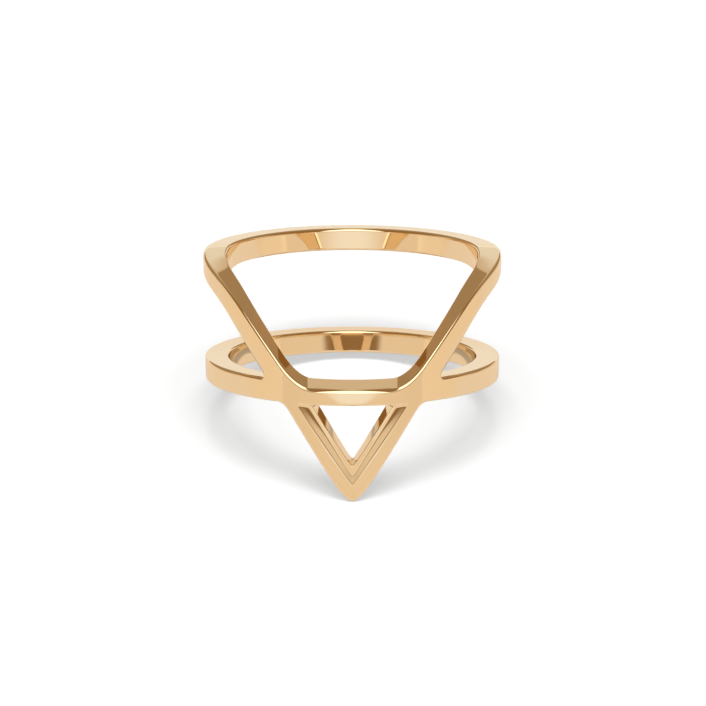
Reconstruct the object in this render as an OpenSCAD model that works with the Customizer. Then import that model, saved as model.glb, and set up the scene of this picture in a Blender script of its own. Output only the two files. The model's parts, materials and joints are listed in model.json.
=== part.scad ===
// Gold ring: two narrow bands joined by a slanting frame that comes to a point below them at the front.
// The ring lies as it does on a table, on the tip of its point and on the back of its lower band.
// Front is -Y. The finger hole leans back from upright by the angle lean.

/* [Finger hole] */
// Diameter of the finger hole
bore_d = 16.9; // [15.7:0.1:20]

/* [Bands] */
// Thickness of the metal between the finger hole and the outer face
wall = 1.65; // [1.4:0.05:1.8]
// Height of each band
band_h = 1.55; // [1.3:0.05:1.8]
// Open height between the lower and the upper band
gap_h = 5.7; // [5:0.1:6.4]

/* [Arms] */
// Width of the notch floor between the arms, on the outer face
notch_w = 7.8; // [7.2:0.1:8.4]
// Rise of the arms in degrees, measured square to their cut faces
arm_rise = 47; // [45:0.5:50]
// Width of the arms
arm_w = 1.5; // [1.2:0.05:1.7]

/* [Point] */
// Depth of the point below the lower band
point_drop = 6.6; // [5.5:0.05:7.5]
// Rise of the legs of the point in degrees, measured square to their cut faces
point_rise = 56; // [54:0.5:57]
// Width of the legs of the point
leg_w = 0.85; // [0.7:0.05:1.2]

/* [Cut faces] */
// Turn of the cut faces to either side of straight ahead, in degrees
face_turn = 17; // [15:0.5:19]

/* [Corner radii] */
// Radius at the tip of the point
tip_r = 0.9; // [0.7:0.05:1]
// Radius at the lower corner of the hole in the point
hole_r = 0.2; // [0.15:0.05:0.4]
// Radius in the corners of the notch floor
notch_r = 3; // [1.5:0.1:3.5]
// Radius where the arms meet the top of the upper band
shoulder_r = 1.6; // [0.8:0.1:2]
// Radius in the upper front corners of the side windows
window_r = 2; // [1:0.1:2.4]
// Radius in the lower front corners of the side windows
heel_r = 0.25; // [0.15:0.05:0.4]
// Radius between the lower band and the point
crotch_r = 1.2; // [1:0.1:1.3]

/* [Hidden] */

$fn = 180;
gold = "#E2BE8A";
arc_steps = 6;

bore_r = bore_d / 2;
outer_r = bore_r + wall;
reach = 2 * outer_r;
window_z = band_h;
upper_z = band_h + gap_h;
top_z = upper_z + band_h;

// The legs of the point lie in two planes that meet in a ridge, which rises inwards by ridge_rise.
point_slope = tan(point_rise);
ridge_rise = atan(point_slope * sin(face_turn));
// Half of the angle between those planes, measured square to the ridge
ridge_half = atan(1 / (point_slope * cos(face_turn) * cos(ridge_rise)));
// Level at which the sharp ridge of the legs would leave the outer face, without its rounding
ridge_z = -point_drop - tip_r * (1 / sin(ridge_half) - 1) / cos(ridge_rise);
hole_ridge_z = ridge_z + leg_w / cos(point_rise);

// Across is the distance from the ring's axis, square to the cut faces of one side.
notch_across = outer_r * sin(asin(notch_w / 2 / outer_r) - face_turn);
arm_across = notch_across + arm_w / sin(arm_rise);
crotch_across = -outer_r * sin(face_turn) - ridge_z / point_slope;

// Pose on the table
lean = atan(point_drop / (2 * outer_r));
lift = outer_r * sin(lean);
centre_y = (top_z - point_drop) * sin(lean) / 2;

// Points of an arc about a centre, from one angle to another
function arc(centre, radius, from, to) =
    [for (i = [0:arc_steps])
        let (a = from + (to - from) * i / arc_steps)
        centre + radius * [cos(a), sin(a)]];

// Centre of the arc that rounds the corner between a level line and a line that rises by angle a
function corner_centre(corner, radius, a, side) =
    corner + [side * radius * tan(a / 2), -side * radius];

// Outline of the notch on one side, above its floor and inside the arm
function notch_outline() =
    let (foot = [notch_across, window_z],
         head = [notch_across + (top_z - window_z) / tan(arm_rise), top_z],
         floor_arc = arc(corner_centre(foot, notch_r, arm_rise, -1), notch_r, -90, arm_rise - 90),
         top_arc = arc(corner_centre(head, shoulder_r, arm_rise, 1), shoulder_r, arm_rise + 90, 90),
         end = top_arc[arc_steps])
    concat([[-reach, window_z]], floor_arc, top_arc, [[end.x, reach], [-reach, reach]]);

// Outline of the metal on the inner side of one window, between the levels of the bands
function arm_outline() =
    let (foot = [arm_across, window_z],
         head = [arm_across + gap_h / tan(arm_rise), upper_z],
         heel = foot + heel_r * [1 / tan(arm_rise / 2), 1],
         heel_arc = arc(heel, heel_r, -90, arm_rise - 270),
         head_arc = arc(corner_centre(head, window_r, arm_rise, 1), window_r, arm_rise + 90, 90),
         end = head_arc[arc_steps])
    concat([[-reach, 0], [heel.x, 0]], heel_arc, head_arc, [[end.x, top_z], [-reach, top_z]]);

// Outline of the metal on the inner side of one leg's outer edge, below the lower band
function leg_outline() =
    let (centre = [crotch_across + crotch_r / tan(90 - point_rise / 2), -crotch_r],
         curve = arc(centre, crotch_r, 90, point_rise + 90))
    concat([[-reach, band_h / 2], [centre.x, band_h / 2]], curve,
           [[-reach, -point_slope * (reach + crotch_across)]]);

// Arc of the rounding of a ridge, seen square to it, with the sharp ridge at the origin
function ridge_arc(radius) =
    let (centre = [0, radius / sin(ridge_half)])
    concat(arc(centre, radius, ridge_half - 180, -90), arc(centre, radius, -90, -ridge_half));

// An outline of one side, carried along the direction of that side's cut faces
module along_cut(outline)
    rotate([0, 0, face_turn])
        rotate([90, 0, 0])
            linear_extrude(2 * reach, center = true)
                polygon(outline);

module front_half()
    translate([-reach, -reach, -reach])
        cube([2 * reach, reach, 2 * reach]);

// What an outline and its mirror image share in the front half
module front_between(outline)
    intersection() {
        front_half();
        along_cut(outline);
        mirror([1, 0, 0]) along_cut(outline);
    }

// An outline square to the ridge between two sloping planes, carried along the ridge at level z
module along_ridge(z, outline)
    translate([0, -outer_r, z])
        rotate([90 + ridge_rise, 0, 0])
            linear_extrude(reach, center = true)
                polygon(outline);

// The space between the planes of the hole in the point
module hole_ridge_space() {
    run = reach / tan(90 - ridge_half);
    along_ridge(hole_ridge_z, concat([[-run, reach]], ridge_arc(hole_r), [[run, reach]]));
}

// The space outside the rounding of the tip. Its outermost facets run on past the legs.
module tip_space() {
    curve = ridge_arc(tip_r);
    facet = curve[0] - curve[1];
    flare = curve[0] + leg_w / norm(facet) * facet;
    along_ridge(ridge_z, concat([flare], curve, [[-flare.x, flare.y], [-flare.x, -reach], [flare.x, -reach]]));
}

// Everything below the lower face of the lower band
module below_band()
    translate([-reach, -reach, -reach])
        cube([2 * reach, 2 * reach, reach]);

module tube()
    translate([0, 0, -point_drop - wall])
        difference() {
            cylinder(h = top_z + point_drop + wall, r = outer_r);
            translate([0, 0, -wall])
                cylinder(h = top_z + point_drop + 3 * wall, r = bore_r);
        }

// The space below the lower band, around the point
module below_space()
    difference() {
        below_band();
        front_between(leg_outline());
    }

// The open notch between the arms
module notch()
    front_between(notch_outline());

// The window between the bands, round the sides and the back
module window()
    difference() {
        translate([-reach, -reach, window_z])
            cube([2 * reach, 2 * reach, gap_h]);
        front_between(arm_outline());
    }

// The three-cornered hole in the point, under the lower band
module point_hole()
    intersection() {
        below_band();
        hole_ridge_space();
    }

// The tube cut away below the lower band, except for the point
module tube_with_point()
    difference() {
        difference() {
            tube();
            below_space();
        }
        tip_space();
    }

// The same, with the window between the bands
module two_bands()
    difference() {
        tube_with_point();
        window();
    }

// The same, with the notch at the front
module open_front()
    difference() {
        two_bands();
        notch();
    }

module ring()
    color(gold)
        translate([0, -centre_y, lift])
            rotate([-lean, 0, 0])
                difference() {
                    open_front();
                    point_hole();
                }

ring();
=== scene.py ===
import json
import math

import bmesh
import bpy
import numpy as np
from mathutils import Matrix, Vector


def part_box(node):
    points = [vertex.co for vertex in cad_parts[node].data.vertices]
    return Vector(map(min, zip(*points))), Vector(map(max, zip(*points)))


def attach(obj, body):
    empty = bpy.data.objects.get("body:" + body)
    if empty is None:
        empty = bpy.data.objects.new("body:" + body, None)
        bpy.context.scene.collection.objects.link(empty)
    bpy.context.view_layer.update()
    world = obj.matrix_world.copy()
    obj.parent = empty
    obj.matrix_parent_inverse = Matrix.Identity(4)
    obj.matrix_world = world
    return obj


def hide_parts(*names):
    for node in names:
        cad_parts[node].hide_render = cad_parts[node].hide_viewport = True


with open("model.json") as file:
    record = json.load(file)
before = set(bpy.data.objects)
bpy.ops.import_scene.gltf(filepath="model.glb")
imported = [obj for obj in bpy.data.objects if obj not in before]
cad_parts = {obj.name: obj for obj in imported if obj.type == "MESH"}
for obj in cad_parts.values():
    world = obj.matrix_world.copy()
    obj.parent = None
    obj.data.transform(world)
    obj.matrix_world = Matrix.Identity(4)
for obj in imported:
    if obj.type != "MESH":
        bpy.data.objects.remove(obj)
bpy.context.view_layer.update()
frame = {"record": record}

MM = 0.001

# Driving sizes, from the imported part. Lengths are in metres and angles in radians.
RING_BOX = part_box("ring")
BORE = frame["record"]["mounts"][0]
OUTER_R = RING_BOX[1][0]
BORE_R = BORE["dims"]["r_mm"] * MM
BAND_H = 1.55 * MM
LEAN = math.atan2(BORE["axis"][1], BORE["axis"][2])
POINT_DROP = 2 * OUTER_R * math.tan(LEAN)
DEPTH = RING_BOX[1][1] - RING_BOX[0][1]
TOP_Z = (DEPTH - 2 * OUTER_R * math.cos(LEAN)) / math.sin(LEAN) - POINT_DROP
UPPER_Z = TOP_Z - BAND_H

# Walls by number: the outer face, the finger hole, and where the bevel and then the ledge round the point's
# hole end
RADII = np.array([OUTER_R, BORE_R, OUTER_R - 0.10 * MM, OUTER_R - 0.105 * MM])

# Pose on the table: the ring leans back until its point and the back of its lower band touch.
CENTRE_Y = (TOP_Z - POINT_DROP) * math.sin(LEAN) / 2
LIFT = OUTER_R * math.sin(LEAN)

# Outlines of the openings, each as (on the outer face, on the finger hole), and of the point's hole on each
# wall. An x is measured to the side in the front view, and a rise is the climb for each unit of x.
FLOOR_Z = (1.06 * MM, 1.56 * MM)
NOTCH_X = (3.66 * MM, 3.62 * MM)
NOTCH_RISE = (1.31, 1.49)
WINDOW_X = (5.85 * MM, 5.25 * MM)
WINDOW_RISE = (1.48, 1.58)
POINT_LOW = (-7.68 * MM, -6.95 * MM)
POINT_RISE = (1.62, 1.68)
HOLE_LOW = (-5.55 * MM, -4.03 * MM, -4.92 * MM, -4.21 * MM)
HOLE_RISE = (1.45, 1.64, 1.64, 1.49)

# Softness of the corners in those outlines: where two stretches differ by less, a parabola joins them.
# A leg is how far the rounding of a sharper corner reaches from it on either side.
NOTCH_SOFT = 1.5 * MM
SHOULDER_SOFT = (2.7 * MM, 2.0 * MM)
WINDOW_SOFT = (2.0 * MM, 2.8 * MM)
CROTCH_SOFT = 0.65 * MM
TIP_SOFT = 0.68 * MM
HOLE_SOFT = 0.1 * MM
HEEL_LEG = 0.45 * MM
HOLE_LEG = 0.25 * MM

# Above the lower band's foot both walls widen by this share over FLARE_OVER, and have their named radius at
# FLARE_LEVEL
FLARE = 0.017
FLARE_OVER = 10 * MM
FLARE_LEVEL = 4 * MM

# Rounding of the metal's edges, as (on the outer face, on the finger hole), and of the bends across the cut
# face of the point's hole
EDGE_SIZES = {
    "top": (0.24 * MM, 0.20 * MM),
    "window": (0.24 * MM, 0.14 * MM),
    "bottom": (0.18 * MM, 0.14 * MM),
    "hole": (0.10 * MM, 0.10 * MM),
}
HOLE_STEP = 0.07 * MM

# How much closer to the outer face each wall comes towards the point's tip, for each unit of level
SHALLOWS = (0, 0, 0.009, 0.0116)

# The lower band's outer top edge is finer behind, and a bevel runs along the window's side of each arm. The
# window's edge belongs to the lower band under LOWER_BELOW.
LOWER_BELOW = 1.01 * BAND_H
FINE_EDGE = 0.13 * MM
FINE_FROM = (math.radians(48), math.radians(95))
ARM_BEVEL = 0.50 * MM
ARM_ENDS = (math.radians(50), math.radians(78))

# How much larger the finger hole's radius is from the lower band's top upwards, and smaller from its bottom
# downwards, than halfway up that band
TAPER = 0.035 * MM

# Azimuth from which the outlines run on along their tangents, round the sides
SIDE_AZ = math.radians(70)

# Length of an arm's or a leg's edge for each unit of x, and where the grid grows finer towards the tip of the
# point and the foot of its hole
SLANT = 1.7
NEAR_TIP = 3 * TIP_SOFT
NEAR_APEX = 6 * HOLE_SOFT

# Steps of the grids: round an edge, across a cut face, across a wall and round a corner
ROUND_STEPS = 7
WALL_STEPS = 8
ACROSS_STEPS = 12
CORNER_STEPS = 6

# Steps along the outlines, stretch by stretch: notch floor, arm with upper band, lower band, and leg
BAR_COUNTS = (24, CORNER_STEPS)
UPPER_COUNTS = (CORNER_STEPS, 60, 24, 130)
LOWER_COUNTS = (CORNER_STEPS, 170)
LEG_COUNTS = (CORNER_STEPS, 44, 24)

# Points closer than WELD become one, and faces that meet at more than SHARP_ANGLE have a sharp edge
WELD = 0.0005 * MM
SHARP_ANGLE = math.radians(40)


def soft_max(a, b, soft):
    """The larger of a and b, plus soft h squared / 4 where they differ by less than soft.

    Here h is 1 - |a - b| / soft.
    """
    h = np.maximum(1 - np.abs(a - b) / soft, 0)
    return np.maximum(a, b) + soft * h * h / 4


def soft_min(a, b, soft):
    """The smaller of a and b, joined in the same way."""
    return -soft_max(-a, -b, soft)


def front_x(az, radius):
    """Distance to the side: radius sin(az), and beyond SIDE_AZ its tangent there."""
    beyond = np.maximum(az - SIDE_AZ, 0)
    return radius * (np.sin(np.minimum(az, SIDE_AZ)) + beyond * math.cos(SIDE_AZ))


def notch_edge(az, side):
    """Level of the top edge: notch floor, then arm, floor + rise (x - corner x), then top of the band."""
    arm = FLOOR_Z[side] + NOTCH_RISE[side] * (front_x(az, RADII[side]) - NOTCH_X[side])
    return soft_min(soft_max(FLOOR_Z[side], arm, NOTCH_SOFT), TOP_Z, SHOULDER_SOFT[side])


def window_edge(az, side):
    """Level of the window's upper edge: arm, band + rise (x - heel x), then underside of the upper band."""
    arm = BAND_H + WINDOW_RISE[side] * (front_x(az, RADII[side]) - WINDOW_X[side])
    return soft_min(arm, UPPER_Z, WINDOW_SOFT[side])


def bottom_edge(az, side):
    """Level of the lowest edge: leg, low + rise (x squared + soft squared) ^ 1/2, then lower band."""
    x = front_x(az, RADII[side])
    leg = POINT_LOW[side] + POINT_RISE[side] * np.sqrt(x ** 2 + TIP_SOFT ** 2)
    return soft_min(leg, 0, CROTCH_SOFT)


def hole_edge(az, side):
    """Level of the lower edge of the hole in the point: low + rise (x squared + soft squared) ^ 1/2."""
    x = front_x(az, RADII[side])
    return HOLE_LOW[side] + HOLE_RISE[side] * np.sqrt(x ** 2 + HOLE_SOFT ** 2)


def azimuth(x, side):
    """Azimuth from the front at which front_x is x."""
    beyond = max(x / RADII[side] - math.sin(SIDE_AZ), 0) / math.cos(SIDE_AZ)
    return math.asin(min(x / RADII[side], math.sin(SIDE_AZ))) + beyond


def run(stops, counts):
    """Azimuths from stop to stop, with an even count of steps between each two stops."""
    pieces = [np.linspace(a, b, n, endpoint=False) for a, b, n in zip(stops, stops[1:], counts)]
    return np.concatenate(pieces + [[stops[-1]]])


def conic(start, corner, end, count):
    """Points of the conic from start to end whose tangents there meet in corner.

    The point is (a start + b corner + c end) / (a + b + c), where a is (1 - t) squared, b is the root of 2
    times t (1 - t), and c is t squared. In a square corner it is a circle's arc.
    """
    t = np.linspace(0, 1, count + 1).reshape((-1,) + (1,) * start.ndim)
    a, b, c = (1 - t) ** 2, 2 * math.sqrt(0.5) * t * (1 - t), t ** 2
    return (a * start + b * corner + c * end) / (a + b + c)


def unwrapped(az, z, side):
    """Points on one wall rolled out flat: (radius times azimuth, level)."""
    return np.stack([RADII[side] * az, z + 0 * az], axis=1)


def edge_upper(side):
    """The right half of the top edge, in two stretches: front middle to corner, corner to back middle."""
    corner = azimuth(NOTCH_X[side], side)
    soft_x = NOTCH_SOFT / NOTCH_RISE[side]
    before = azimuth(NOTCH_X[side] - soft_x, side)
    after = azimuth(NOTCH_X[side] + soft_x, side)
    top_x = NOTCH_X[side] + (TOP_Z - FLOOR_Z[side]) / NOTCH_RISE[side]
    soft_top = SHOULDER_SOFT[side] / NOTCH_RISE[side]
    low = azimuth(top_x - soft_top, side)
    high = azimuth(top_x + soft_top, side)
    floor = run([0, before, corner], BAR_COUNTS)
    arm = run([corner, after, low, high, math.pi], UPPER_COUNTS)
    return unwrapped(floor, notch_edge(floor, side), side), unwrapped(arm, notch_edge(arm, side), side)


def edge_window(side):
    """The right half of the window's edge, heel to back: along the arm and upper band, and the lower band."""
    radius = RADII[side]
    heel = azimuth(WINDOW_X[side], side)
    start = azimuth(WINDOW_X[side] + HEEL_LEG / SLANT, side)
    top_x = WINDOW_X[side] + (UPPER_Z - BAND_H) / WINDOW_RISE[side]
    soft_top = WINDOW_SOFT[side] / WINDOW_RISE[side]
    low = azimuth(top_x - soft_top, side)
    high = azimuth(top_x + soft_top, side)
    arm = run([start, low, high, math.pi], UPPER_COUNTS[1:])
    arm = unwrapped(arm, window_edge(arm, side), side)
    back = run([heel + HEEL_LEG / radius, math.pi], LOWER_COUNTS[1:])
    back = unwrapped(back, BAND_H, side)
    corner = np.array([radius * heel, BAND_H])
    curve = conic(arm[0], corner, back[0], 2 * CORNER_STEPS)
    up = np.concatenate([curve[CORNER_STEPS:0:-1], arm])
    along = np.concatenate([curve[CORNER_STEPS:-1], back])
    return up, along


def edge_bottom(side):
    """The right half of the lowest edge: crotch to the tip, and crotch to the back."""
    corner_x = math.sqrt((POINT_LOW[side] / POINT_RISE[side]) ** 2 - TIP_SOFT ** 2)
    soft_x = CROTCH_SOFT / POINT_RISE[side]
    corner = azimuth(corner_x, side)
    before = azimuth(corner_x - soft_x, side)
    after = azimuth(corner_x + soft_x, side)
    tip = azimuth(NEAR_TIP, side)
    leg = run([corner, before, tip, 0], LEG_COUNTS)
    band = run([corner, after, math.pi], LOWER_COUNTS)
    return unwrapped(leg, bottom_edge(leg, side), side), unwrapped(band, bottom_edge(band, side), side)


def edge_hole(side):
    """The right half of the hole's edge: corner to front middle on the bar, corner to apex on the leg."""
    radius = RADII[side]
    corner_x = math.sqrt((HOLE_LOW[side] / HOLE_RISE[side]) ** 2 - HOLE_SOFT ** 2)
    corner = azimuth(corner_x, side)
    bar = run([corner - HOLE_LEG / radius, 0], BAR_COUNTS[:1])
    bar = unwrapped(bar, 0, side)
    start = azimuth(corner_x - HOLE_LEG / SLANT, side)
    apex = azimuth(NEAR_APEX, side)
    leg = run([start, apex, 0], LEG_COUNTS[1:])
    leg = unwrapped(leg, hole_edge(leg, side), side)
    curve = conic(bar[0], np.array([radius * corner, 0]), leg[0], 2 * CORNER_STEPS)
    under_bar = np.concatenate([curve[CORNER_STEPS:0:-1], bar])
    down = np.concatenate([curve[CORNER_STEPS:-1], leg])
    return under_bar, down


def inward(points, turn):
    """Unit vectors square to a line of points, on its left if turn is 1 and on its right if it is -1.

    At both ends they lie in the ring's mirror plane.
    """
    step = np.diff(points, axis=0)
    step = step / np.linalg.norm(step, axis=1, keepdims=True)
    tangent = np.concatenate([step[:1], step[:-1] + step[1:], step[-1:]])
    for end in (0, -1):
        tangent[end] = (np.sign(tangent[end][0]), 0)
    tangent = tangent / np.linalg.norm(tangent, axis=1, keepdims=True)
    return turn * np.stack([-tangent[:, 1], tangent[:, 0]], axis=1)


def on_wall(points, side):
    """Rolls flat points back on to a wall: (wide sin az, -wide cos az, level).

    Here wide is the wall's radius with its flare, its taper on the lower band, and its shallowing round the
    point's hole.
    """
    az = points[..., 0] / RADII[side]
    level = points[..., 1]
    wide = RADII[side] * (1 + FLARE * (np.maximum(level, 0) - FLARE_LEVEL) / FLARE_OVER)
    if side == 1:
        wide = wide + TAPER * np.clip(2 * level / BAND_H - 1, -1, 1)
    wide = wide - SHALLOWS[side] * level
    return np.stack([wide * np.sin(az), -wide * np.cos(az), level], axis=-1)


class Shell:
    """Collects grids of points and their quads, to be welded into one closed mesh."""

    def __init__(self):
        """Starts with no points and no quads."""
        self.points = []
        self.quads = []
        self.count = 0

    def add(self, grid):
        """Adds a grid of points, with a quad between each four neighbours."""
        rows, columns = grid.shape[:2]
        index = np.arange(rows * columns).reshape(rows, columns) + self.count
        corners = (index[:-1, :-1], index[1:, :-1], index[1:, 1:], index[:-1, 1:])
        self.quads.append(np.stack([c.ravel() for c in corners], axis=1))
        self.points.append(grid.reshape(-1, 3))
        self.count += rows * columns


def eased(count):
    """Values from 0 to 1 that crowd towards both ends: 0.7 of (1 - cos(pi t)) / 2 and 0.3 of t."""
    t = np.linspace(0, 1, count + 1)
    return 0.7 * (1 - np.cos(math.pi * t)) / 2 + 0.3 * t


def eased_step(value, low, high):
    """0 below low, 1 above high and t squared (3 - 2t) between."""
    t = np.clip((value - low) / (high - low), 0, 1)
    return t * t * (3 - 2 * t)


def reach(name, side, points):
    """How far the rounding of an edge reaches over the wall and into the cut face, at each point.

    On the outer face the window's edge is finer behind, and the arm's bevel grows over one band's height.
    """
    size = np.full((len(points), 1), EDGE_SIZES[name][side])
    if name != "window" or side == 1:
        return size, size
    az, level = points[:, :1] / OUTER_R, points[:, 1:]
    on_lower_band = level < LOWER_BELOW
    size = size + (FINE_EDGE - size) * eased_step(az, *FINE_FROM) * on_lower_band
    arm = eased_step(level, BAND_H, 2 * BAND_H) * (1 - eased_step(az, *ARM_ENDS))
    return size + (ARM_BEVEL - size) * arm, size


def towards(start, end):
    """Unit vectors from the points of one line to those of another."""
    step = end - start
    return step / np.linalg.norm(step, axis=1, keepdims=True)


def step_size(start, end):
    """How far a small step reaches from one line towards another: HOLE_STEP, but under 0.4 of the way."""
    return np.minimum(HOLE_STEP, 0.4 * np.linalg.norm(end - start, axis=1, keepdims=True))


def straight(start, end):
    """Points from one line to another, without the first."""
    t = eased(WALL_STEPS)[1:].reshape(-1, 1, 1)
    return start * (1 - t) + end * t


def edge_profile(name, edges, turn):
    """Carries the rounded profile of a cut face along an edge.

    At each station a conic turns from the outer face on to the cut face, straight lines cross it, and a last
    conic turns on to the finger hole. Where edges has more than two lines, the crossing bends at each of the
    others, with a small conic. Gives the profile's grid and the flat points where the two walls begin.
    """
    over, into = zip(*(reach(name, side, edges[side]) for side in (0, 1)))
    starts = [edges[side] + over[side] * inward(edges[side], turn) for side in (0, 1)]
    between = range(2, len(edges))
    lines = [on_wall(edges[side], side) for side in (0, *between, 1)]
    last = lines[0] + into[0] * towards(lines[0], lines[1])
    grids = [conic(on_wall(starts[0], 0), lines[0], last, ROUND_STEPS)]
    for before, line, after in zip(lines, lines[1:], lines[2:]):
        step_start = line + step_size(line, before) * towards(line, before)
        step_end = line + step_size(line, after) * towards(line, after)
        step = conic(step_start, line, step_end, ROUND_STEPS)
        grids += [straight(last, step[0]), step[1:]]
        last = step[-1]
    bore_end = lines[-1] + into[1] * towards(lines[-1], lines[-2])
    turn_on = conic(bore_end, lines[-1], on_wall(starts[1], 1), ROUND_STEPS)
    grids += [straight(last, bore_end), turn_on[1:]]
    return np.concatenate(grids), starts


def patch(bottom, top, left, right):
    """A four-sided grid between four lines of points.

    It is the straight lines from bottom to top, plus those from left to right, less the straight-sided grid
    between the four corners.
    """
    u = np.linspace(0, 1, len(bottom)).reshape(1, -1, 1)
    v = np.linspace(0, 1, len(left)).reshape(-1, 1, 1)
    rows = bottom[None] * (1 - v) + top[None] * v
    columns = left[:, None] * (1 - u) + right[:, None] * u
    low = bottom[0] * (1 - u) + bottom[-1] * u
    high = top[0] * (1 - u) + top[-1] * u
    return rows + columns - (low * (1 - v) + high * v)


def ring_shell():
    """The right half of the ring: four rounded edges, the walls between them, and the arm's crossing."""
    shell = Shell()
    edges = {}
    for name, make, turn, walls in (("top", edge_upper, -1, 2), ("window", edge_window, -1, 2),
                                    ("bottom", edge_bottom, 1, 2), ("hole", edge_hole, 1, 4)):
        first, second = zip(*(make(side) for side in range(walls)))
        if name != "top":
            first = [a[::-1] for a in first]
        lines = [np.concatenate([a, b[1:]]) for a, b in zip(first, second)]
        grid, starts = edge_profile(name, lines, turn)
        shell.add(grid)
        split = len(first[0]) - 1
        edges[name] = [(s[:split + 1], s[split:]) for s in starts]
    across = eased(ACROSS_STEPS)
    for side in (0, 1):
        floor, arm = edges["top"][side]
        arm_low, band_top = edges["window"][side]
        leg_low, band_low = edges["bottom"][side]
        bar_low, leg_top = edges["hole"][side]
        arm_low, leg_low, bar_low = arm_low[::-1], leg_low[::-1], bar_low[::-1]
        t = across.reshape(-1, 1, 1)
        facing = ((arm, arm_low), (band_top, band_low), (floor[::-1], bar_low), (leg_top, leg_low))
        for one, other in facing:
            shell.add(on_wall(one[None] * (1 - t) + other[None] * t, side))
        t = across.reshape(-1, 1)
        top = arm[0] * (1 - t) + arm_low[0] * t
        bottom = leg_top[0] * (1 - t) + leg_low[0] * t
        left = bar_low[0] * (1 - t) + floor[-1] * t
        right = band_low[0] * (1 - t) + band_top[0] * t
        shell.add(on_wall(patch(bottom, top, left, right), side))
    return shell


def on_table(points):
    """Leans the ring back about X and lifts it to the table, from its own frame."""
    y, z = points[:, 1], points[:, 2]
    leaned_y = y * math.cos(LEAN) + z * math.sin(LEAN) - CENTRE_Y
    leaned_z = z * math.cos(LEAN) - y * math.sin(LEAN) + LIFT
    return np.stack([points[:, 0], leaned_y, leaned_z], axis=1)


def make_ring():
    """The whole ring: the right half and its mirror image, welded into one closed mesh."""
    shell = ring_shell()
    points = np.concatenate(shell.points)
    quads = np.concatenate(shell.quads)
    both = on_table(np.concatenate([points, points * [-1, 1, 1]]))
    faces = np.concatenate([quads, quads[:, ::-1] + len(points)])
    mesh = bpy.data.meshes.new("gold_ring")
    mesh.from_pydata(both.tolist(), [], faces.tolist())
    work = bmesh.new()
    work.from_mesh(mesh)
    bmesh.ops.remove_doubles(work, verts=work.verts, dist=WELD)
    bmesh.ops.recalc_face_normals(work, faces=work.faces)
    open_edges = sum(1 for e in work.edges if len(e.link_faces) != 2)
    print("ring mesh:", len(work.verts), "points", len(work.faces), "faces", open_edges, "open edges",
          "volume mm3", round(work.calc_volume(signed=True) * 1e9, 2))
    work.to_mesh(mesh)
    work.free()
    mesh.shade_smooth()
    mesh.set_sharp_from_angle(angle=SHARP_ANGLE)
    ring = bpy.data.objects.new("gold_ring", mesh)
    bpy.context.scene.collection.objects.link(ring)
    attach(ring, "root")
    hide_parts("ring")
    return ring


def link(tree, source, target):
    """Joins a node's output to a node's input."""
    tree.links.new(source, target)


def math_node(tree, operation, first, second=0.0):
    """A math node; each input is a number or another node's output."""
    node = tree.nodes.new("ShaderNodeMath")
    node.operation = operation
    for socket, value in zip(node.inputs, (first, second)):
        if isinstance(value, bpy.types.NodeSocket):
            link(tree, value, socket)
        else:
            socket.default_value = value
    return node.outputs["Value"]


def smooth_step(tree, value, low, high, out_low=0.0, out_high=1.0):
    """Eases from out_low to out_high as value goes from low to high."""
    node = tree.nodes.new("ShaderNodeMapRange")
    node.interpolation_type = "SMOOTHSTEP"
    link(tree, value, node.inputs["Value"])
    for name, number in (("From Min", low), ("From Max", high), ("To Min", out_low), ("To Max", out_high)):
        node.inputs[name].default_value = number
    return node.outputs["Result"]


def mix_colour(tree, factor, first, second):
    """A mix of two colours, each a tuple or another node's output."""
    node = tree.nodes.new("ShaderNodeMix")
    node.data_type = "RGBA"
    link(tree, factor, node.inputs["Factor"])
    for socket, value in ((node.inputs[6], first), (node.inputs[7], second)):
        if isinstance(value, bpy.types.NodeSocket):
            link(tree, value, socket)
        else:
            socket.default_value = (*value, 1)
    return node.outputs[2]


def multiply_colour(tree, first, second):
    """The product of two colours, the second a tuple or another node's output."""
    node = tree.nodes.new("ShaderNodeMix")
    node.data_type = "RGBA"
    node.blend_type = "MULTIPLY"
    node.inputs["Factor"].default_value = 1
    link(tree, first, node.inputs[6])
    if isinstance(second, bpy.types.NodeSocket):
        link(tree, second, node.inputs[7])
    else:
        node.inputs[7].default_value = (*second, 1)
    return node.outputs[2]


def noise(tree, place, scale, detail):
    """Soft noise from 0 to 1 at a place."""
    node = tree.nodes.new("ShaderNodeTexNoise")
    node.inputs["Scale"].default_value = scale
    node.inputs["Detail"].default_value = detail
    link(tree, place, node.inputs["Vector"])
    return node.outputs["Fac"]


# Reflectance of the gold, from its deeper to its paler tone, the tint of its glancing reflections, and the
# range of its roughness
GOLD_DEEP = (0.875, 0.685, 0.43)
GOLD_PALE = (0.905, 0.73, 0.485)
GOLD_TINT = (1.0, 0.95, 0.86)
POLISH = (0.03, 0.06)

# Scale and detail of the noise for the gold's tone, for its duller patches and for its unevenness
TONE_NOISE = (180, 2.0)
PATCH_NOISE = (420, 3.0)
UNEVEN_NOISE = (520, 1.0)
PATCH_ENDS = (0.3, 0.75)
UNEVEN_STRENGTH = 0.12
UNEVEN_DEPTH = 0.004 * MM


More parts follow.
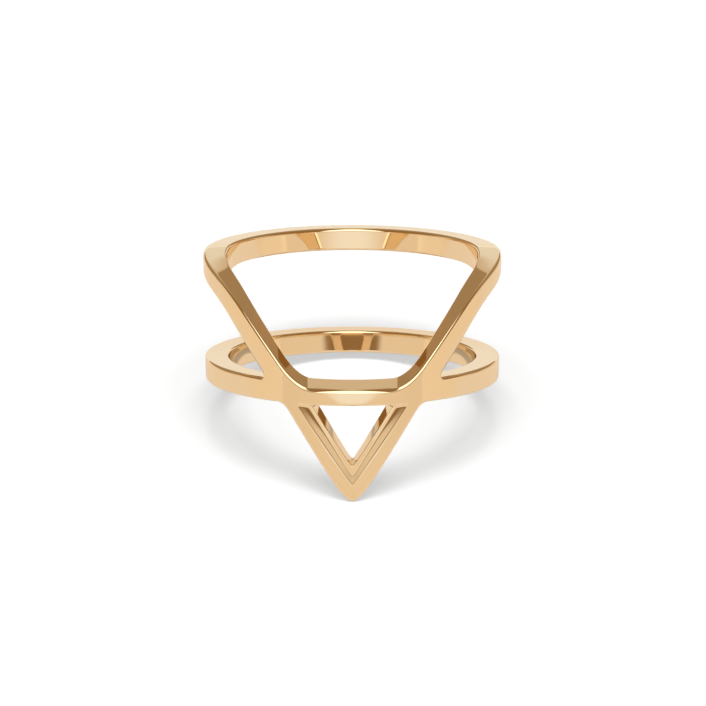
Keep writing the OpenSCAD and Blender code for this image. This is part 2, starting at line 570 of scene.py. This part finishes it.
def polish_group():
    """Colour, roughness and normal of hand-polished gold, from a place on the object.

    The alloy's tone drifts a little over millimetres, the polish is a little duller in patches, and a very
    slight unevenness is left in the faces.
    """
    group = bpy.data.node_groups.new("hand_polish", "ShaderNodeTree")
    group.interface.new_socket("Place", in_out="INPUT", socket_type="NodeSocketVector")
    group.interface.new_socket("Colour", in_out="OUTPUT", socket_type="NodeSocketColor")
    group.interface.new_socket("Roughness", in_out="OUTPUT", socket_type="NodeSocketFloat")
    group.interface.new_socket("Normal", in_out="OUTPUT", socket_type="NodeSocketVector")
    place = group.nodes.new("NodeGroupInput").outputs["Place"]
    out = group.nodes.new("NodeGroupOutput")
    tone = noise(group, place, *TONE_NOISE)
    link(group, mix_colour(group, tone, GOLD_DEEP, GOLD_PALE), out.inputs["Colour"])
    patches = noise(group, place, *PATCH_NOISE)
    link(group, smooth_step(group, patches, *PATCH_ENDS, *POLISH), out.inputs["Roughness"])
    bump = group.nodes.new("ShaderNodeBump")
    bump.inputs["Strength"].default_value = UNEVEN_STRENGTH
    bump.inputs["Distance"].default_value = UNEVEN_DEPTH
    link(group, noise(group, place, *UNEVEN_NOISE), bump.inputs["Height"])
    link(group, bump.outputs["Normal"], out.inputs["Normal"])
    return group


def gold_material():
    """Polished yellow gold."""
    material = bpy.data.materials.new("polished_gold")
    material.use_nodes = True
    tree = material.node_tree
    shader = tree.nodes["Principled BSDF"]
    shader.inputs["Metallic"].default_value = 1
    shader.inputs["Specular Tint"].default_value = (*GOLD_TINT, 1)
    place = tree.nodes.new("ShaderNodeTexCoord").outputs["Object"]
    polish = tree.nodes.new("ShaderNodeGroup")
    polish.node_tree = polish_group()
    link(tree, place, polish.inputs["Place"])
    link(tree, polish.outputs["Colour"], shader.inputs["Base Color"])
    link(tree, polish.outputs["Roughness"], shader.inputs["Roughness"])
    link(tree, polish.outputs["Normal"], shader.inputs["Normal"])
    return material


# The room, as the ring mirrors it: its colours, and the angles between which one passes into the next, in
# degrees. Azimuths are counted from straight in front to either side, and elevations from level.
FRONT_WHITE = (1.02, 1.01, 1.02)
SIDE_TAN = (0.88, 0.74, 0.60)
BACK_BROWN = (0.42, 0.28, 0.165)
FRONT_ENDS = (6, 36)
SIDE_ENDS = (100, 118)
CEILING_BROWN = (0.30, 0.175, 0.075)
CEILING_BACK = (0.39, 0.275, 0.16)
CEILING_FROM = (11.3, 12.3)

# A pale strip straight behind, which grows tan upwards
STRIP_WHITE = (0.86, 0.85, 0.83)
STRIP_TAN = (0.70, 0.59, 0.47)
STRIP_FROM = (169.5, 171)
STRIP_DARKENS = (10, 16)
STRIP_TOP = (80, 88)

# A tan cloth over the front, and a bright panel over that
CLOTH_TAN = (0.84, 0.72, 0.59)
CLOTH_AZIMUTH = (12, 30)
CLOTH_LOW = (14.3, 15.1)
CLOTH_HIGH = (22, 26)
PANEL_WHITE = (1.9, 1.85, 1.75)
PANEL_AZIMUTH = (28, 34)
PANEL_LOW = (16.5, 19)
PANEL_HIGH = (78, 86)

# Even light on the floor from all round, and the plain white that the camera sees of the room
FILL = (0.20, 0.20, 0.20)
BACKDROP = (1.0, 1.0, 1.0)

# Two square lamps: how far each stands to its side, their y, height and size in metres, and their power in
# watts
LAMP_ASIDE = 0.07
LAMP_Y = -0.03
LAMP_HEIGHT = 0.42
LAMP_SIZE = 0.20
LAMP_POWER = 0.53

# The floor is plain white paper to the camera. The ring mirrors it as a strip of paper from front to back,
# with a tan desk on both sides. Under and in front of the ring the strip carries painted gold-tinted bounce
# light in the ring's shade, and it is plain behind the ends given for that in y. Its edges are distances to
# the side, and behind the ring each moves out by PAPER_WIDENS for each unit of y. The desk darkens there.
DESK_SIZE = 2.0
PAPER = (0.9, 0.9, 0.9)
# Painted gold-tinted bounce light in the ring's shade on the mirrored paper, and the y over which it fades
PAINTED_GOLD_BOUNCE = (0.86, 0.765, 0.69)
GOLD_BOUNCE_ENDS = (0.015, 0.045)
PAPER_EDGE = (0.030, 0.043)
PAPER_WIDENS = 0.17
DESK_TAN = (0.88, 0.75, 0.60)
DESK_BROWN = (0.52, 0.35, 0.20)
DESK_DARKENS = (0.0, 0.07)
PAPER_ROUGHNESS = 0.7
PAPER_GLOSS = 0.1

# How strongly the floor glows, how much more the camera sees, and a glow that makes up for the lamps' light,
# which falls off with distance from the ring
DESK_GLOW = 0.28
CAMERA_GLOW = 0.13
FAR_GLOW = 0.52
FAR_ENDS = (0.0, 0.52)

# A low tan card across the front, outside the picture, which glows with its colour instead of being lit, so
# its reflection is painted light: its y, half-width, height and glowing colour, and the distances to the side
# between which it passes into SIDE_TAN
CARD_Y = -0.070
CARD_HALF = 0.090
CARD_HIGH = 0.0108
CARD_GLOW_TAN = (0.92, 0.78, 0.64)
CARD_FADES = (0.02, 0.07)

# Scale and detail of the noise for the fibres in paper and card, and the tone of their darker parts
FIBRE_NOISE = (300, 2.0)
PAPER_FIBRES = (0.985, 0.985, 0.985)
CARD_FIBRES = (0.97, 0.97, 0.97)


def flat_sheet(name, material_name, corners, order):
    """A flat sheet with four corners: its object, its material's tree, a place on it, and its x, y and z."""
    mesh = bpy.data.meshes.new(name)
    mesh.from_pydata(corners, [], [order])
    sheet = bpy.data.objects.new(name, mesh)
    bpy.context.scene.collection.objects.link(sheet)
    material = bpy.data.materials.new(material_name)
    material.use_nodes = True
    mesh.materials.append(material)
    tree = material.node_tree
    place = tree.nodes.new("ShaderNodeTexCoord").outputs["Object"]
    split = tree.nodes.new("ShaderNodeSeparateXYZ")
    link(tree, place, split.inputs["Vector"])
    return sheet, tree, place, split.outputs


def with_fibres(tree, place, colour, darker):
    """A colour with the fibres of paper or card in it, down to a darker tone."""
    fibres = mix_colour(tree, noise(tree, place, *FIBRE_NOISE), darker, (1, 1, 1))
    return multiply_colour(tree, colour, fibres)


def floor_colour(tree, place, split, light_path):
    """Plain paper to the camera, and to the ring a paper strip on a desk, both changing towards the back.

    The strip carries painted gold-tinted bounce light under and in front of the ring, for reflections only.
    """
    desk = mix_colour(tree, smooth_step(tree, split["Y"], *DESK_DARKENS), DESK_TAN, DESK_BROWN)
    widening = math_node(tree, "MULTIPLY", math_node(tree, "MAXIMUM", split["Y"], 0.0), PAPER_WIDENS)
    beyond = math_node(tree, "SUBTRACT", math_node(tree, "ABSOLUTE", split["X"]), widening)
    aside = smooth_step(tree, beyond, *PAPER_EDGE)
    # Painted gold-tinted bounce light on the strip under and in front of the ring, for the ring's reflections
    # only
    gold_bounce = smooth_step(tree, split["Y"], *GOLD_BOUNCE_ENDS, 1.0, 0.0)
    gold_bounce = math_node(tree, "MULTIPLY", gold_bounce, light_path["Is Glossy Ray"])
    mirrored = mix_colour(tree, aside, mix_colour(tree, gold_bounce, PAPER, PAINTED_GOLD_BOUNCE), desk)
    colour = mix_colour(tree, light_path["Is Camera Ray"], mirrored, PAPER)
    return with_fibres(tree, place, colour, PAPER_FIBRES)


def floor_glow(tree, place, light_path):
    """Strength of the floor's glow: a little more to the camera, and more far from the ring."""
    glow = math_node(tree, "MULTIPLY", light_path["Is Camera Ray"], CAMERA_GLOW)
    glow = math_node(tree, "ADD", glow, DESK_GLOW)
    distance = tree.nodes.new("ShaderNodeVectorMath")
    distance.operation = "LENGTH"
    link(tree, place, distance.inputs[0])
    far = smooth_step(tree, distance.outputs["Value"], *FAR_ENDS, 0.0, FAR_GLOW)
    return math_node(tree, "ADD", glow, far)


def make_floor():
    """A level floor, plain white to the camera, which the ring mirrors as a paper strip on a tan desk."""
    size = DESK_SIZE
    corners = [(-size, -size, 0), (size, -size, 0), (size, size, 0), (-size, size, 0)]
    floor, tree, place, split = flat_sheet("desk", "paper_and_desk", corners, (0, 1, 2, 3))
    shader = tree.nodes["Principled BSDF"]
    light_path = tree.nodes.new("ShaderNodeLightPath").outputs
    colour = floor_colour(tree, place, split, light_path)
    link(tree, colour, shader.inputs["Base Color"])
    link(tree, colour, shader.inputs["Emission Color"])
    link(tree, floor_glow(tree, place, light_path), shader.inputs["Emission Strength"])
    shader.inputs["Roughness"].default_value = PAPER_ROUGHNESS
    shader.inputs["Specular IOR Level"].default_value = PAPER_GLOSS


def make_glowing_card():
    """The tan card, which the face of the point mirrors. It glows with its colour instead of being lit by the
    lamps, so its reflection is painted light. It is hidden from the camera and casts no shadow.
    """
    across, y, high = CARD_HALF, CARD_Y, CARD_HIGH
    corners = [(-across, y, 0), (across, y, 0), (across, y, high), (-across, y, high)]
    card, tree, place, split = flat_sheet("glowing_tan_card", "glowing_tan_card", corners, (3, 2, 1, 0))
    shader = tree.nodes["Principled BSDF"]
    aside = smooth_step(tree, math_node(tree, "ABSOLUTE", split["X"]), *CARD_FADES)
    colour = with_fibres(tree, place, mix_colour(tree, aside, CARD_GLOW_TAN, SIDE_TAN), CARD_FIBRES)
    # The card's colour is emitted, not lit by the lamps: painted light for the ring's reflections
    link(tree, colour, shader.inputs["Emission Color"])
    shader.inputs["Emission Strength"].default_value = 1
    shader.inputs["Base Color"].default_value = (0, 0, 0, 1)
    shader.inputs["Specular IOR Level"].default_value = 0
    card.visible_camera = False
    card.visible_diffuse = False
    card.visible_shadow = False


# Camera, fitted to the photograph: view angles to the ring's own frame, in degrees, distance in outer radii,
# the outer radius in pixels, the pixel of the ring's own origin, the roll in degrees, the picture's side in
# pixels and the sensor's in millimetres
VIEW_ELEVATION = 11.2
VIEW_AZIMUTH = -0.13
VIEW_DISTANCE = 35
VIEW_SCALE_PX = 147.4
VIEW_ORIGIN_PX = (352.2, 376.2)
VIEW_ROLL = -0.07
PHOTO_PX = 706
SENSOR = 36.0


def make_camera():
    """A long lens that puts the ring's own origin on its pixel, by moving the camera sideways and up."""
    elevation = math.radians(VIEW_ELEVATION) + LEAN
    az = math.radians(VIEW_AZIMUTH)
    level = math.cos(elevation)
    back = Vector((math.sin(az) * level, -math.cos(az) * level, math.sin(elevation)))
    right = Vector((math.cos(az), math.sin(az), 0))
    up = back.cross(right)
    roll = math.radians(VIEW_ROLL)
    right, up = (right * math.cos(roll) - up * math.sin(roll), up * math.cos(roll) + right * math.sin(roll))
    origin = Vector(on_table(np.zeros((1, 3)))[0])
    per_px = OUTER_R / VIEW_SCALE_PX
    across = (PHOTO_PX / 2 - VIEW_ORIGIN_PX[0]) * per_px
    rise = (VIEW_ORIGIN_PX[1] - PHOTO_PX / 2) * per_px
    place = origin + right * across + up * rise + back * VIEW_DISTANCE * OUTER_R
    camera_data = bpy.data.cameras.new("camera")
    camera_data.sensor_width = SENSOR
    camera_data.lens = SENSOR * VIEW_SCALE_PX * VIEW_DISTANCE / PHOTO_PX
    camera = bpy.data.objects.new("camera", camera_data)
    bpy.context.scene.collection.objects.link(camera)
    camera.location = place
    turn = np.array([right, up, back]).T
    camera.rotation_euler = Matrix(turn.tolist()).to_euler()
    bpy.context.scene.camera = camera


def patch_over_front(tree, aside, up, aside_ends, low_ends, high_ends):
    """Mask of a patch of the room: within an azimuth to either side, and between two elevations."""
    within = smooth_step(tree, aside, *aside_ends, 1.0, 0.0)
    above = smooth_step(tree, up, *low_ends)
    below = smooth_step(tree, up, *high_ends, 1.0, 0.0)
    return math_node(tree, "MULTIPLY", math_node(tree, "MULTIPLY", within, above), below)


def room_group():
    """Colour of the room in a direction, from its azimuth and elevation in degrees.

    The wall is white in front, tan at the sides and brown behind, under a ceiling that is darker in front. A
    bright panel stands over the front with a tan cloth under it, and a pale strip stands behind.
    """
    group = bpy.data.node_groups.new("room", "ShaderNodeTree")
    group.interface.new_socket("Direction", in_out="INPUT", socket_type="NodeSocketVector")
    group.interface.new_socket("Colour", in_out="OUTPUT", socket_type="NodeSocketColor")
    split = group.nodes.new("ShaderNodeSeparateXYZ")
    link(group, group.nodes.new("NodeGroupInput").outputs["Direction"], split.inputs["Vector"])
    forward = math_node(group, "MULTIPLY", split.outputs["Y"], -1.0)
    turn = math_node(group, "ARCTAN2", split.outputs["X"], forward)
    aside = math_node(group, "MULTIPLY", math_node(group, "ABSOLUTE", turn), 180 / math.pi)
    up = math_node(group, "MULTIPLY", math_node(group, "ARCSINE", split.outputs["Z"]), 180 / math.pi)
    behind = smooth_step(group, aside, *SIDE_ENDS)
    colour = mix_colour(group, smooth_step(group, aside, *FRONT_ENDS), FRONT_WHITE, SIDE_TAN)
    colour = mix_colour(group, behind, colour, BACK_BROWN)
    ceiling = mix_colour(group, behind, CEILING_BROWN, CEILING_BACK)
    colour = mix_colour(group, smooth_step(group, up, *CEILING_FROM), colour, ceiling)
    strip = mix_colour(group, smooth_step(group, up, *STRIP_DARKENS), STRIP_WHITE, STRIP_TAN)
    in_strip = math_node(group, "MULTIPLY", smooth_step(group, aside, *STRIP_FROM),
                         smooth_step(group, up, *STRIP_TOP, 1.0, 0.0))
    colour = mix_colour(group, in_strip, colour, strip)
    cloth = patch_over_front(group, aside, up, CLOTH_AZIMUTH, CLOTH_LOW, CLOTH_HIGH)
    colour = mix_colour(group, cloth, colour, CLOTH_TAN)
    panel = patch_over_front(group, aside, up, PANEL_AZIMUTH, PANEL_LOW, PANEL_HIGH)
    colour = mix_colour(group, panel, colour, PANEL_WHITE)
    link(group, colour, group.nodes.new("NodeGroupOutput").inputs["Colour"])
    return group


def make_lamp(place):
    """A square lamp aimed at the middle of the floor, which is not mirrored in the ring."""
    data = bpy.data.lights.new("lamp", "AREA")
    data.size = LAMP_SIZE
    data.energy = LAMP_POWER
    lamp = bpy.data.objects.new("lamp", data)
    bpy.context.scene.collection.objects.link(lamp)
    lamp.location = place
    lamp.rotation_euler = (-Vector(place)).to_track_quat("-Z", "Y").to_euler()
    lamp.visible_glossy = False


def make_light():
    """The room, and two soft lamps above the ring, to its left and right."""
    world = bpy.data.worlds.new("studio")
    world.use_nodes = True
    tree = world.node_tree
    room = tree.nodes.new("ShaderNodeGroup")
    room.node_tree = room_group()
    link(tree, tree.nodes.new("ShaderNodeTexCoord").outputs["Generated"], room.inputs["Direction"])
    light_path = tree.nodes.new("ShaderNodeLightPath").outputs
    colour = mix_colour(tree, light_path["Is Diffuse Ray"], room.outputs["Colour"], FILL)
    colour = mix_colour(tree, light_path["Is Camera Ray"], colour, BACKDROP)
    link(tree, colour, tree.nodes["Background"].inputs["Color"])
    bpy.context.scene.world = world
    for side in (-1, 1):
        make_lamp((side * LAMP_ASIDE, LAMP_Y, LAMP_HEIGHT))
    bpy.context.scene.view_settings.view_transform = "Standard"


make_camera()
make_light()
make_floor()
make_glowing_card()
ring = make_ring()
ring.data.materials.append(gold_material())
# The gold throws no gold-tinted light on the floor, so that its shadows stay neutral. Its bounce light is
# painted into the paper under and in front of the ring instead, where only the ring's reflections show it.
ring.visible_diffuse = False
